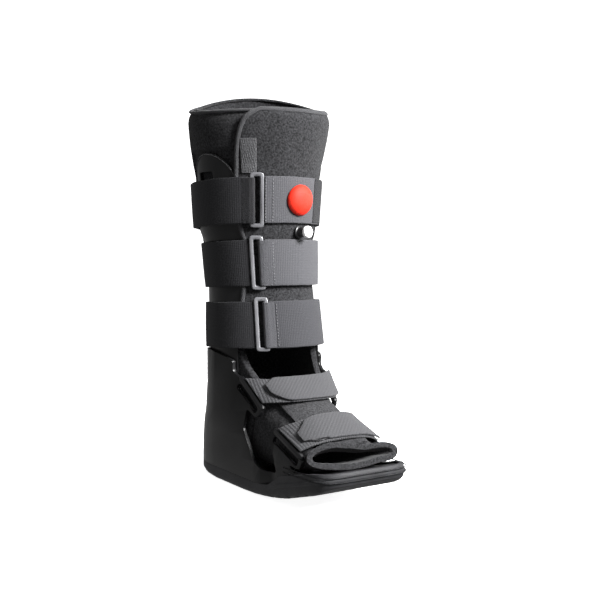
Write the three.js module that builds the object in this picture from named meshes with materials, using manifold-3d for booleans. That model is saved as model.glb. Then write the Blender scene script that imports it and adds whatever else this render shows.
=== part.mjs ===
// A medical walking boot: a rigid slotted foot shell on a rocker sole, two side
// uprights, a padded liner that is open at the ankle and the toes, and five straps.
// Millimetres, +Z up. The toes point along -Y and the origin lies on the ground
// under the leg's axis, midway between the two sides.

import * as THREE from "three";
import { mergeVertices } from "three/addons/utils/BufferGeometryUtils.js";
import Module from "manifold-3d";

const wasm = await Module();
wasm.setup();

// Clearances
const gap = 0.3;
const strapGap = 0.5;
const padGap = 1.1;

// Sole and rocker
const toeY = -190;
const heelY = 87;
const soleHalf = 57;
const toeCorner = 66;
const heelCorner = 67;
const toeSquareness = 6;
const heelSquareness = 2.3;
const flatFront = -40;
const flatBack = 20;
const toeRockerRadius = 370;
const heelRockerRadius = 200;
const heelSoleTop = 15;
const toeSeatTop = 38;
const bumperTop = 46;
const bumperWall = 5;
const seatRiseY = -66;
const shellTuckY = -80;
const rimStartY = -94;
const rimFullY = -116;
const treadPitch = 15;
const treadDepth = 2.4;
const treadWidth = 3.2;

// Foot shell
const shellWall = 3.4;
const plateThickness = 5;
const ankleHalf = 65;
const ankleBack = 68;
const ankleMidY = 3;
const pinch = 27;
const pinchReach = 55;
const plantLevel = 42;
const ankleLevel = 104;
const shellTopZ = 149;
const shellFrontY = -27;
const heelCounterZ = 100;
const windowTopZ = 68;
const windowLowZ = 30;
const earSlotWidth = 8;
const earBarRadius = 3.6;

// Leg and liner
const legFootY = -13.4;
const legLean = 0.109;
const legStraightZ = 285;
const linerWall = 12;
const flapThickness = 6;
const uprightThickness = 3.2;
const rimFrontZ = 409;
const rimRise = 32;
const rimLowAngle = -27;
const linerSplitZ = 152;
const flapBottomZ = 154;
const flapSideY = -31.2;
const flapCornerAngle = -26;
const calfHalf = 80.6;
const bindingWidth = 4.5;
const bindingThickness = 1.2;
const hookTopZ = 377;
const hookBottomZ = 343;
const hookFromAngle = -42;
const hookToAngle = -29.5;

const wingLowZ = 112;
const heelLinerWall = 8;

// Foot sleeve
const sleeveTopZ = 118;
const sleeveHalf = 50;
const sleeveWall = 6.5;
const sleeveLift = 1.2;
const sleeveSquareness = 2.6;
const sleeveToeY = -164;
const sleeveToeSkew = 0.2;
const footFlapThickness = 4;
const flapLeftTurn = 128;
const flapRightTurn = 58;

// Uprights
const uprightTopZ = 364.5;
const uprightBottomZ = 112;
const uprightHalfWidth = 33;
const uprightMidY = 5;
const uprightSeat = 1.3;
const uprightSlotWidth = 24;
const uprightSlotHeight = 13;
const uprightSlotZ = 338;

// Leg straps
const webbing = 50;
const strapThickness = 2.4;
const strapLift = 2 * gap + bindingThickness;
const strapTilt = 0.046;
const ringBar = 4.4;
const ringDepth = 3.6;
const ringBevel = 0.8;
const ringSlot = 6.5;
const chafeTurn = 74;

// Foot straps
const footStrapThickness = 2.2;
const tabThickness = 2.4;
const footStrapBend = 3.2;

// Pump and valve
const bulbRadius = 17;
const bulbHeight = 9;
const bulbAngle = 7.5;
const bulbZ = 313;
const valveZ = 278.6;
const valveLift = 1.1;
const valveAngle = 11;
const valveStemRadius = 5.4;
const valveStemLength = 9;
const buttonRadius = 6.6;
const buttonLength = 4.5;
const valveSocketDepth = 5;
const pressTravel = 2;
const plungerRadius = 2.4;
const valveSides = 14;

const rad = (degrees) => (degrees * Math.PI) / 180;
const lerp = (a, b, t) => a + (b - a) * t;
const smooth = (t) => {
  const k = Math.min(1, Math.max(0, t));
  return k * k * (3 - 2 * k);
};

// Value at a place of rows that each hold at and value, straight between rows
function along(rows, place) {
  const last = rows.length - 1;
  if (place <= rows[0].at) return rows[0].value;
  for (let i = 1; i <= last; i += 1) {
    if (place <= rows[i].at) {
      const t = (place - rows[i - 1].at) / (rows[i].at - rows[i - 1].at);
      return lerp(rows[i - 1].value, rows[i].value, t);
    }
  }
  return rows[last].value;
}

// Triangles

function geometryFrom(points, faces) {
  const geometry = new THREE.BufferGeometry();
  const positions = new Float32Array(points.flatMap((p) => [p.x, p.y, p.z]));
  geometry.setAttribute("position", new THREE.BufferAttribute(positions, 3));
  geometry.setIndex(faces.flat());
  return geometry;
}

// A wall between two grids of points, outer[i][j] and inner[i][j]; closed joins the
// last column to the first
function wallGeometry(outer, inner, closed) {
  const columns = outer.length;
  const rows = outer[0].length;
  const points = [...outer.flat(), ...inner.flat()];
  const shift = columns * rows;
  const id = (i, j, side) => side * shift + (i % columns) * rows + j;
  const faces = [];
  const quad = (a, b, c, d) => faces.push([a, b, c], [a, c, d]);
  const last = closed ? columns : columns - 1;
  for (let i = 0; i < last; i += 1) {
    for (let j = 0; j < rows - 1; j += 1) {
      quad(id(i, j, 0), id(i + 1, j, 0), id(i + 1, j + 1, 0), id(i, j + 1, 0));
      quad(id(i, j, 1), id(i, j + 1, 1), id(i + 1, j + 1, 1), id(i + 1, j, 1));
    }
    quad(id(i, 0, 1), id(i + 1, 0, 1), id(i + 1, 0, 0), id(i, 0, 0));
    const top = rows - 1;
    quad(id(i, top, 0), id(i + 1, top, 0), id(i + 1, top, 1), id(i, top, 1));
  }
  if (!closed) {
    for (let j = 0; j < rows - 1; j += 1) {
      const end = columns - 1;
      quad(id(0, j, 1), id(0, j, 0), id(0, j + 1, 0), id(0, j + 1, 1));
      quad(id(end, j, 0), id(end, j, 1), id(end, j + 1, 1), id(end, j + 1, 0));
    }
  }
  return geometryFrom(points, faces);
}

// A solid through rings of points, each running from the toe along the right side to
// the heel and back along the left, so that both caps are strips across the part
function slabGeometry(rings) {
  const count = rings[0].length;
  const points = rings.flat();
  const faces = [];
  const quad = (a, b, c, d) => faces.push([a, b, c], [a, c, d]);
  for (let j = 0; j < rings.length - 1; j += 1) {
    for (let i = 0; i < count; i += 1) {
      const k = (i + 1) % count;
      quad(j * count + i, j * count + k, (j + 1) * count + k, (j + 1) * count + i);
    }
  }
  const topStart = (rings.length - 1) * count;
  for (let i = 0; i < count / 2 - 1; i += 1) {
    const a = i;
    const b = i + 1;
    const c = count - 2 - i;
    const d = count - 1 - i;
    quad(a, d, c, b);
    quad(topStart + a, topStart + b, topStart + c, topStart + d);
  }
  return geometryFrom(points, faces);
}

// Joining and cutting

function solid(geometry) {
  const bare = geometry.index ? geometry.toNonIndexed() : geometry.clone();
  bare.deleteAttribute("normal");
  bare.deleteAttribute("uv");
  const merged = mergeVertices(bare, 1e-4);
  const made = new wasm.Manifold(
    new wasm.Mesh({
      numProp: 3,
      vertProperties: new Float32Array(merged.attributes.position.array),
      triVerts: new Uint32Array(merged.index.array),
    }),
  );
  return made;
}

function geometryOf(manifold) {
  const mesh = manifold.getMesh();
  const geometry = new THREE.BufferGeometry();
  geometry.setAttribute("position", new THREE.BufferAttribute(mesh.vertProperties, 3));
  geometry.setIndex(new THREE.BufferAttribute(mesh.triVerts, 1));
  return geometry;
}

// An outline in the side view, from corners that each hold y, z and a corner radius
function sideShape(corners) {
  const shape = new THREE.Shape();
  roundCorners(shape, corners);
  return shape;
}

function roundCorners(path, corners) {
  const count = corners.length;
  const at = (i) => new THREE.Vector2(corners[(i + count) % count].y, corners[(i + count) % count].z);
  for (let i = 0; i < count; i += 1) {
    const here = at(i);
    const radius = corners[i].r ?? 0;
    const before = at(i - 1).sub(here);
    const after = at(i + 1).sub(here);
    const reach = Math.min(radius, before.length() * 0.48, after.length() * 0.48);
    const from = here.clone().add(before.setLength(reach || 1e-3));
    const to = here.clone().add(after.setLength(reach || 1e-3));
    if (i === 0) path.moveTo(from.x, from.y);
    else path.lineTo(from.x, from.y);
    if (reach > 0) path.quadraticCurveTo(here.x, here.y, to.x, to.y);
  }
  path.closePath();
}

// The shape's first axis becomes Y, its second Z, and its depth runs from x0 to x1
function acrossX(shape, x0, x1, curveSegments = 4) {
  const geometry = new THREE.ExtrudeGeometry(shape, {
    depth: x1 - x0,
    bevelEnabled: false,
    curveSegments,
  });
  const turn = new THREE.Matrix4().set(0, 0, 1, x0, 1, 0, 0, 0, 0, 1, 0, 0, 0, 0, 0, 1);
  return geometry.applyMatrix4(turn);
}

// Foot: plan outlines

// Height of the sole's ground face above the ground
function rocker(y) {
  if (y < flatFront) return (flatFront - y) ** 2 / (2 * toeRockerRadius);
  if (y > flatBack) return (y - flatBack) ** 2 / (2 * heelRockerRadius);
  return 0;
}

// Height of the rubber face that carries the shell
const seatTop = (y) => lerp(heelSoleTop, toeSeatTop, smooth((seatRiseY - y) / (seatRiseY - toeY)));
const tuckShare = (y) => smooth((shellTuckY - y) / (shellTuckY - rimStartY));
const rimShare = (y) => smooth((rimStartY - y) / (rimStartY - rimFullY));
const rimTop = (y) => seatTop(y) + (bumperTop - toeSeatTop) * rimShare(y);
const shellBottom = (y) => seatTop(y) + gap;
const floorTop = (y) => shellBottom(y) + plateThickness;
const ankleShare = (z) => smooth((z - plantLevel) / (ankleLevel - plantLevel));

// Half width of the shell's ankle section in front of its widest place
function ankleWidth(y) {
  const d = Math.max(0, ankleMidY - y);
  return ankleHalf - (pinch * d * d) / (d * d + pinchReach * pinchReach);
}

// Outer half width of the shell at a place along the foot and a height
function shellHalf(y, z) {
  const t = ankleShare(z);
  const low = soleHalf - (bumperWall + gap) * tuckShare(y);
  if (y <= ankleMidY) return lerp(low, ankleWidth(y), t);
  const d = Math.min(1, (y - ankleMidY) / (ankleBack - ankleMidY));
  return lerp(low, ankleHalf * Math.sqrt(1 - d * d), t);
}

// One side of the plan from toe to heel; share 0 is the sole's outline, 1 the ankle's
const toeTurn = [8, 22, 38, 55, 72, 90];
const heelTurn = [15, 30, 45, 60, 73, 83];
const toeMidY = toeY + toeCorner;
const heelMidY = heelY - heelCorner;

function halfPlan() {
  const stops = [];
  for (const turn of toeTurn) {
    const x = Math.sin(rad(turn)) ** (2 / toeSquareness);
    const y = toeMidY - toeCorner * Math.cos(rad(turn)) ** (2 / toeSquareness);
    stops.push({ sole: [soleHalf * x, y], ankle: [ankleWidth(y) * x, y] });
  }
  const rimMidY = (rimStartY + rimFullY) / 2;
  const sideStops = [rimFullY, rimMidY, rimStartY, shellTuckY, seatRiseY, flatFront];
  for (const soleY of [...sideStops, (flatFront + heelMidY) / 2, heelMidY]) {
    const y = lerp(toeMidY, ankleMidY, (soleY - toeMidY) / (heelMidY - toeMidY));
    stops.push({ sole: [soleHalf, soleY], ankle: [ankleWidth(y), y] });
  }
  for (const turn of heelTurn) {
    const c = Math.cos(rad(turn));
    const s = Math.sin(rad(turn));
    const sole = [soleHalf * c ** (2 / heelSquareness), heelMidY + heelCorner * s ** (2 / heelSquareness)];
    stops.push({ sole, ankle: [ankleHalf * c, ankleMidY + (ankleBack - ankleMidY) * s] });
  }
  return stops;
}

// A ring round the foot; height(y) and inset(y, z) follow the place along it
function planRing(height, inset, shareAt = ankleShare) {
  const half = halfPlan();
  const flat = [...half.map((s) => [s, 1]), ...half.toReversed().map((s) => [s, -1])];
  const raw = flat.map(([stop, side]) => {
    const z = height(stop.sole[1]);
    const t = shareAt(z);
    const x = lerp(stop.sole[0], stop.ankle[0], t) * side;
    return new THREE.Vector3(x, lerp(stop.sole[1], stop.ankle[1], t), z);
  });
  return raw.map((p, i) => {
    const before = raw[(i + raw.length - 1) % raw.length];
    const after = raw[(i + 1) % raw.length];
    const tangent = new THREE.Vector2(after.x - before.x, after.y - before.y).normalize();
    const move = inset(p.y, p.z);
    return new THREE.Vector3(p.x - tangent.y * move, p.y + tangent.x * move, p.z);
  });
}

// Outsole

// Steps of the sole's side from the ground up: share of its height, how far it stands
// in, and how far the bumper's ridge stands out
const soleSteps = [
  { up: 0, inward: 6.5, ridge: 0 },
  { up: 0.1, inward: 2.8, ridge: 0 },
  { up: 0.28, inward: 0.5, ridge: 0 },
  { up: 0.5, inward: 0, ridge: 0 },
  { up: 0.55, inward: 0, ridge: 1.3 },
  { up: 0.66, inward: 0, ridge: 1.3 },
  { up: 0.7, inward: 0, ridge: 0 },
  { up: 1, inward: 0, ridge: -0.6 },
];

function outsole() {
  const rings = soleSteps.map(({ up, inward, ridge }) =>
    planRing(
      (y) => lerp(rocker(y), rimTop(y), up),
      (y) => inward - ridge * rimShare(y),
      () => 0,
    ),
  );
  const block = solid(slabGeometry(rings));
  const trayAt = (up) => planRing((y) => seatTop(y) + up * bumperTop, () => bumperWall, () => 0);
  const tray = [trayAt(0), trayAt(1)];
  const front = sideShape([
    { y: toeY - 20, z: 0 },
    { y: rimStartY, z: 0 },
    { y: rimStartY, z: 2 * bumperTop },
    { y: toeY - 20, z: 2 * bumperTop },
  ]);
  const frontSpace = solid(acrossX(front, -2 * soleHalf, 2 * soleHalf));
  let made = block.subtract(solid(slabGeometry(tray)).intersect(frontSpace));
  for (let y = toeY + 2 * treadPitch; y < heelY - treadPitch; y += treadPitch) {
    const groove = sideShape([
      { y, z: rocker(y) - treadDepth },
      { y: y + treadWidth, z: rocker(y) - treadDepth },
      { y: y + treadWidth, z: rocker(y) + treadDepth },
      { y, z: rocker(y) + treadDepth },
    ]);
    made = made.subtract(solid(acrossX(groove, -2 * soleHalf, 2 * soleHalf)));
  }
  return geometryOf(made);
}

// Foot shell

// Each ear's bar, from its upper to its lower end, in the side view
const earBars = [
  { top: { y: -38.7, z: 120.3 }, low: { y: -68.5, z: 93.1 } },
  { top: { y: -94.9, z: 72.4 }, low: { y: -143.8, z: 55.3 } },
];

// The bar's direction, downwards, and the square to it that points into the shell
function barAxes({ top, low }) {
  const down = new THREE.Vector2(low.y - top.y, low.z - top.z);
  const length = down.length();
  down.normalize();
  return { down, inward: new THREE.Vector2(-down.y, down.x), length };
}

// A place beside a bar: share along it, distance past it, distance into the shell
function beside(bar, share, past, inwards) {
  const { down, inward } = barAxes(bar);
  const y = lerp(bar.top.y, bar.low.y, share) + down.x * past + inward.x * inwards;
  const z = lerp(bar.top.z, bar.low.z, share) + down.y * past + inward.y * inwards;
  return { y, z };
}

function slotPath(bar) {
  const near = earBarRadius;
  const far = earBarRadius + earSlotWidth;
  const path = new THREE.Path();
  const corners = [
    beside(bar, 0, 1, near),
    beside(bar, 1, -1, near),
    beside(bar, 1, -1, far),
    beside(bar, 0, 1, far),
  ];
  roundCorners(path, corners.map((c) => ({ ...c, r: earSlotWidth / 2 })));
  return path;
}

// The shell's side view: heel counter, ankle, ear, window and front ear
function shellSide() {
  const [instep, forefoot] = earBars;
  const shape = sideShape([
    { y: toeY - 10, z: 0 },
    { y: heelY + 10, z: 0 },
    { y: heelY + 10, z: heelCounterZ },
    { y: ankleBack - 12, z: heelCounterZ, r: 14 },
    { y: ankleBack - 22, z: shellTopZ, r: 16 },
    { y: 10, z: shellTopZ, r: 24 },
    { y: shellFrontY, z: shellTopZ - 9, r: 3 },
    { y: shellFrontY, z: instep.top.z + 7, r: 4 },
    { ...beside(instep, 0, -4, 0), r: 4 },
    { ...beside(instep, 1, 4, 0), r: 4 },
    { ...beside(instep, 1, 4, 12.5), r: 5 },
    { ...beside(instep, 0.66, 0, 17), r: 4 },
    { y: shellFrontY - 15, z: windowTopZ, r: 4 },
    { y: shellFrontY - 40, z: windowLowZ + 6, r: 10 },
    { y: shellFrontY - 58, z: windowLowZ, r: 8 },
    { y: forefoot.top.y - 9, z: windowLowZ + 1, r: 6 },
    { ...beside(forefoot, 0.06, 0, 18), r: 8 },
    { ...beside(forefoot, 0, -4, 10), r: 5 },
    { ...beside(forefoot, 0, -4, 0), r: 4 },
    { ...beside(forefoot, 1, 4, 0), r: 4 },
    { ...beside(forefoot, 1, 4, 12.5), r: 5 },
    { ...beside(forefoot, 0.74, 0, 16), r: 4 },
    { y: rimFullY - 17, z: rimTop(rimFullY - 17) + 2, r: 4 },
    { y: toeY - 10, z: bumperTop - 0.5 },
  ]);
  earBars.forEach((bar) => shape.holes.push(slotPath(bar)));
  return shape;
}

// Where a bar's end lies across the foot, at the middle of the shell's wall
const barX = ({ y, z }) => shellHalf(y, z) - shellWall / 2;

function roundBar(from, to, radius, sides = 8) {
  const a = new THREE.Vector3(...from);
  const b = new THREE.Vector3(...to);
  const bar = new THREE.CapsuleGeometry(radius, a.distanceTo(b), 2, sides);
  const turn = new THREE.Quaternion().setFromUnitVectors(
    new THREE.Vector3(0, 1, 0),
    b.clone().sub(a).normalize(),
  );
  bar.applyQuaternion(turn);
  return bar.translate((a.x + b.x) / 2, (a.y + b.y) / 2, (a.z + b.z) / 2);
}

const shellRise = [0, 0.14, 0.3, 0.46, 0.64, 1];

function footShell() {
  const crest = shellTopZ + 12;
  const body = (bottom, top, wall) =>
    solid(
      slabGeometry(
        shellRise.map((up) =>
          planRing(
            (y) => lerp(bottom(y), top, up),
            (y, z) => wall + (bumperWall + gap) * tuckShare(y) * (1 - ankleShare(z) ** 2),
          ),
        ),
      ),
    );
  const outer = body(shellBottom, crest, 0);
  const inner = body(floorTop, crest + 5, shellWall);
  const side = solid(acrossX(shellSide(), -2 * soleHalf, 2 * soleHalf));
  let made = outer.subtract(inner).intersect(side);
  for (const { top, low } of earBars) {
    for (const hand of [-1, 1]) {
      const bar = roundBar([hand * barX(top), top.y, top.z], [hand * barX(low), low.y, low.z], earBarRadius);
      made = made.add(solid(bar));
    }
  }
  return geometryOf(made);
}

// Leg: the surface that the straps and uprights lie on

const rimHighest = rimFrontZ + rimRise;
const legMidY = (z) => legFootY + legLean * Math.min(z, legStraightZ);

// Height above the liner's split and reach, as shares of its height and of the calf
const legSections = [
  { at: 0, value: 0.775 },
  { at: 0.08, value: 0.763 },
  { at: 0.17, value: 0.744 },
  { at: 0.228, value: 0.737 },
  { at: 0.315, value: 0.747 },
  { at: 0.401, value: 0.767 },
  { at: 0.429, value: 0.806 },
  { at: 0.46, value: 0.835 },
  { at: 0.547, value: 0.851 },
  { at: 0.633, value: 0.872 },
  { at: 0.685, value: 0.9 },
  { at: 0.74, value: 0.937 },
  { at: 0.806, value: 0.975 },
  { at: 0.862, value: 1 },
  { at: 0.92, value: 0.993 },
  { at: 1, value: 0.968 },
];
const legReach = (z) =>
  calfHalf * along(legSections, (z - linerSplitZ) / (rimHighest - linerSplitZ));
const rimZ = (angle) => rimFrontZ + rimRise * ((1 - Math.cos(rad(angle - rimLowAngle))) / 2) ** 2;

// A place on the leg: degrees from the front towards +X, height, distance outwards
function onLeg(angle, z, outwards) {
  const reach = legReach(z) + outwards;
  return new THREE.Vector3(
    reach * Math.sin(rad(angle)),
    legMidY(z) - reach * Math.cos(rad(angle)),
    z,
  );
}

// The angle at which the leg's surface passes a place along Y, on the +X side
function angleAt(y, z) {
  const share = (legMidY(z) - y) / legReach(z);
  return (Math.acos(Math.min(1, Math.max(-1, share))) * 180) / Math.PI;
}

// Grids for a wall on the leg from one angle to another
function legWall(angles, heights, outwards, inwards, closed = false) {
  const grid = (away) =>
    angles.map((angle, i) =>
      heights(angle, i).map((z, j) => onLeg(typeof angle === "function" ? angle(z) : angle, z, away(angle, z, i, j))),
    );
  return wallGeometry(grid(outwards), grid(inwards), closed);
}

const spread = (from, to, count) =>
  Array.from({ length: count + 1 }, (_, i) => lerp(from, to, i / count));

// Leg liner

const uprightFrontY = uprightMidY - uprightHalfWidth;
const uprightBackY = uprightMidY + uprightHalfWidth;
const channelFrontY = uprightFrontY - 1.5;
const channelBackY = uprightBackY + 1.5;
const channelRamp = 4;

// The liner's columns all round, each with its angle at a height and its zone
function linerColumns() {
  const between = (from, to, share) => (z) => lerp(from(z), to(z), share);
  const flapEdge = (z) => angleAt(flapSideY, z);
  const channelFront = (z) => angleAt(channelFrontY, z);
  const channelBack = (z) => angleAt(channelBackY, z);
  const backEdge = (z) => angleAt(channelBackY + channelRamp, z);
  const middle = () => 0;
  const rear = () => 180;
  const half = [
    ...[0, 0.2, 0.4, 0.6, 0.8, 1].map((s) => ({ angle: between(middle, flapEdge, s), zone: "flap" })),
    ...[0, 0.2, 0.4, 0.6, 0.8, 1].map((s) => ({ angle: between(channelFront, channelBack, s), zone: "side" })),
    ...[0, 0.25, 0.5, 0.75, 1].map((s) => ({ angle: between(backEdge, rear, s), zone: "back" })),
  ];
  const leftEdge = (z) => -flapLeft(z);
  const leftChannel = (z) => leftEdge(z) + channelFront(z) - flapEdge(z);
  const left = [
    ...[0.25, 0.5, 0.75].map((s) => ({ angle: between(rear, backEdge, s), zone: "back" })),
    { angle: backEdge, zone: "back" },
    ...[1, 0.8, 0.6, 0.4, 0.2, 0].map((s) => ({ angle: between(leftChannel, channelBack, s), zone: "side" })),
    ...[1, 0.8, 0.6, 0.4, 0.2].map((s) => ({ angle: between(middle, leftEdge, s), zone: "flap" })),
  ];
  return [...half, ...left.map(({ angle, zone }) => ({ angle: (z) => -angle(z), zone }))];
}

// How far the liner stands back from the leg's surface under the flap or an upright
function linerRecess(zone, z) {
  if (zone === "flap") return flapThickness + gap;
  const tuck = z < shellTopZ + 6 ? padGap : 0;
  if (zone === "side" && z < uprightTopZ + 2) return uprightThickness + padGap + tuck;
  return 0;
}

const linerSpan = rimFrontZ - linerSplitZ;
const channelTop = [1, 5].map((above) => (uprightTopZ + above - linerSplitZ) / linerSpan);
const linerLevels = [0, 0.19, 0.257, 0.451, 0.486, 0.518, 0.615, 0.712, 0.77, ...channelTop, 0.93, 1];

function legLiner() {
  const columns = linerColumns();
  const grid = (away) =>
    columns.map((column) =>
      linerHeights(column.angle, linerSplitZ).map((z, j) => onLeg(column.angle(z), z, away(column, z, j))),
    );
  const last = linerLevels.length - 1;
  const outer = grid(({ zone }, z, j) => -linerRecess(zone, z) - (j === last ? 2 : 0));
  const inner = grid((column, z, j) => -linerWall + (j === last ? 2 : 0));
  return wallGeometry(outer, inner, true);
}

// The front flap lies over the liner between the uprights; its left edge turns in
// towards the front at the rim
function flapLeft(z) {
  const straight = -angleAt(flapSideY, Math.min(z, uprightTopZ));
  const turn = smooth((z - uprightTopZ) / (rimFrontZ - uprightTopZ));
  return lerp(straight, flapCornerAngle, turn * turn);
}

// Heights of the liner's levels at a column, from a lower end up to the rim
function linerHeights(angle, lowest) {
  const top = rimZ(angle(rimFrontZ));
  return linerLevels.map((s, j) => (j === 0 ? lowest : lerp(linerSplitZ, s > channelTop[1] ? top : rimFrontZ, s)));
}

function linerFlap() {
  const shares = [...spread(0, 1, 5).map((s) => -1 + s), ...spread(0.2, 1, 4)];
  const grid = (away) =>
    shares.map((share) => {
      const angle = (z) => (share < 0 ? -share * flapLeft(z) : share * angleAt(flapSideY, z));
      return linerHeights(angle, flapBottomZ).map((z) => onLeg(angle(z), z, away));
    });
  return wallGeometry(grid(0), grid(-flapThickness), false);
}

// Sewn tape along the flap's left edge
function flapBinding() {
  const column = (across, away) => {
    const angle = (z) => flapLeft(z) + (across * 180) / (Math.PI * legReach(z));
    return linerHeights(flapLeft, flapBottomZ).map((z) => onLeg(angle(z), z, away));
  };
  const grid = (away) => [0, bindingWidth].map((across) => column(across, away));
  return wallGeometry(grid(gap + bindingThickness), grid(gap), false);
}

function hookStrip() {
  const angles = spread(hookFromAngle, hookToAngle, 2);
  return legWall(angles, () => spread(hookBottomZ, hookTopZ, 2), () => gap + 1.2, () => gap);
}

// Ankle and heel part of the liner: a wall round the back and sides, open in front

const footRearLow = { y: -34, z: 21 };
const footRearTop = { y: -60, z: 118 };
const footRear = (z) =>
  lerp(footRearLow.y, footRearTop.y, (z - footRearLow.z) / (footRearTop.z - footRearLow.z));
const ankleEdge = [
  { at: 0, value: 0 },
  { at: 0.28, value: 0.12 },
  { at: 0.62, value: 0.42 },
  { at: 1, value: 1 },
];

// The front edge of the ankle wall, from the foot sleeve up to the leg
function wingEdge(z) {
  if (z <= wingLowZ) return footRear(z) + strapGap;
  const low = footRear(wingLowZ) + strapGap;
  return lerp(low, shellFrontY + 1, 1 - along(ankleEdge, 1 - (z - wingLowZ) / (linerSplitZ - wingLowZ)));
}

const heelInset = shellWall + uprightSeat + uprightThickness + 2 * gap + 0.1;

// Half of the liner's plan at a height, from its front edge round to the heel
function wingPlan(z, inset, count) {
  const half = halfPlan().map((stop) => {
    const t = ankleShare(z);
    const place = new THREE.Vector2(lerp(stop.sole[0], stop.ankle[0], t), lerp(stop.sole[1], stop.ankle[1], t));
    const narrower = 1 - inset / soleHalf;
    const shorter = 1 - inset / (heelY - heelMidY);
    return place.y > heelMidY
      ? new THREE.Vector2(place.x * narrower, heelMidY + (place.y - heelMidY) * shorter)
      : new THREE.Vector2(place.x - inset, place.y);
  });
  half.push(new THREE.Vector2(0, half[half.length - 1].y + 0.4));
  const edge = wingEdge(z);
  const first = half.findIndex((p) => p.y > edge);
  const a = half[first - 1];
  const b = half[first];
  const start = a.clone().lerp(b, (edge - a.y) / (b.y - a.y));
  const line = [start, ...half.slice(first)];
  const lengths = line.slice(1).map((p, i) => p.distanceTo(line[i]));
  const total = lengths.reduce((sum, l) => sum + l, 0);
  return spread(0, total, count).map((goal) => {
    let left = goal;
    for (let i = 0; i < lengths.length; i += 1) {
      if (left <= lengths[i] + 1e-6) return line[i].clone().lerp(line[i + 1], left / lengths[i]);
      left -= lengths[i];
    }
    return line[line.length - 1].clone();
  });
}

function heelLiner() {
  const levels = [0, 0.22, 0.4, 0.56, 0.69, 0.78, 0.88, 1];
  const heights = levels.map((s) => lerp(floorTop(heelY) + gap, linerSplitZ - strapGap, s));
  const columns = (inset) => {
    const rows = heights.map((z) => wingPlan(z, inset, 10));
    const side = (hand) =>
      rows[0].map((_, i) => rows.map((row, j) => new THREE.Vector3(row[i].x * hand, row[i].y, heights[j])));
    return [...side(1), ...side(-1).toReversed().slice(1)];
  };
  return wallGeometry(columns(heelInset), columns(heelInset + heelLinerWall), false);
}

// Foot sleeve

// Sections of the sleeve: share of the way from its rear to the toe opening, and the
// shares of its widest half and of its highest top; clear is its lift off the plate
const sleeveSections = [
  { along: 0, half: 0.9, top: 1 },
  { along: 0.24, half: 0.83, top: 0.825 },
  { along: 0.46, half: 0.83, top: 0.75 },
  { along: 0.68, half: 0.83, top: 0.628 },
  { along: 0.87, half: 0.83, top: 0.53 },
  { along: 1, half: 1, top: 0.592 },
];

// Y of the sleeve at a share of its length and a height between bottom and top
function sleeveY(share, x, z) {
  const rear = footRear(z) - 0.1;
  const toe = sleeveToeY - sleeveToeSkew * x;
  return lerp(rear, toe, share);
}

// A place on the sleeve's section, the angle in degrees from the right side upwards
function onSleeve(section, angle, away) {
  const c = Math.cos(rad(angle));
  const s = Math.sin(rad(angle));
  const power = 2 / sleeveSquareness;
  const middle = sleeveY(section.along, 0, footRearTop.z * 0.6);
  const bottom = floorTop(middle) + sleeveLift;
  const top = sleeveTopZ * section.top;
  const half = sleeveHalf * section.half + away;
  const x = half * Math.sign(c) * Math.abs(c) ** power;
  const rise = (top - bottom) / 2 + away;
  const z = (top + bottom) / 2 + rise * Math.sign(s) * Math.abs(s) ** power;
  return new THREE.Vector3(x, sleeveY(section.along, x, z), z);
}

function footLiner() {
  const angles = spread(0, 360, 28).slice(0, -1);
  const grid = (away) => angles.map((a) => sleeveSections.map((section) => onSleeve(section, a, away)));
  return wallGeometry(grid(0), grid(-sleeveWall), true);
}

// The overlap on the instep, from behind the first foot strap to under the second
function footFlap() {
  const angles = spread(flapLeftTurn, flapRightTurn, 10).toReversed();
  const sections = sleeveSections.slice(0, 5);
  const grid = (away) => angles.map((a) => sections.map((section) => onSleeve(section, a, away)));
  return wallGeometry(grid(gap + footFlapThickness), grid(gap), false);
}

// Uprights

const uprightLevels = [0, 0.06, 0.14, 0.185, 0.26, 0.35, 0.42, 0.62, 0.65, 0.7, 0.88, 0.93, 0.965, 0.99, 1];

// Half of the strut's width at a height, with its round top and softened lower end
function uprightHalf(z) {
  const top = uprightTopZ - z;
  const low = z - uprightBottomZ;
  const arc = (d, r) => (d >= r ? 1 : Math.sqrt(Math.max(0, 1 - ((r - d) / r) ** 2)));
  return uprightHalfWidth * Math.max(0.12, arc(top, uprightHalfWidth)) * (0.8 + 0.2 * arc(low, 12));
}

// Outer face of the strut: inside the shell at the ankle, on the leg above it
function uprightX(y, z) {
  const onShell = shellHalf(y, Math.min(z, shellTopZ)) - shellWall - uprightSeat;
  const d = y - legMidY(z);
  const reach = legReach(z);
  const above = Math.sqrt(Math.max(0, reach * reach - d * d));
  return lerp(onShell, above, smooth((z - shellTopZ) / 9));
}

function upright(hand) {
  const heights = uprightLevels.map((s) => lerp(uprightBottomZ, uprightTopZ, s));
  const grid = (depth) =>
    spread(-1, 1, 6).map((across) =>
      heights.map((z) => {
        const y = uprightMidY + across * uprightHalf(z);
        const slope = (y - legMidY(z)) / legReach(z);
        const x = uprightX(y, z) - depth * Math.sqrt(1 - slope * slope);
        return new THREE.Vector3(x * hand, y - depth * slope, z);
      }),
    );
  const [outer, inner] = hand > 0 ? [grid(0), grid(uprightThickness)] : [grid(uprightThickness), grid(0)];
  const slot = sideShape(
    [[-1, -1], [1, -1], [1, 1], [-1, 1]].map(([a, b]) => ({
      y: uprightMidY + 6 + (a * uprightSlotWidth) / 2,
      z: uprightSlotZ + (b * uprightSlotHeight) / 2,
      r: 2.5,
    })),
  );
  const cut = solid(acrossX(slot, -2 * calfHalf, 2 * calfHalf, 3));
  return geometryOf(solid(wallGeometry(outer, inner, false)).subtract(cut));
}

// Leg straps

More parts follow.
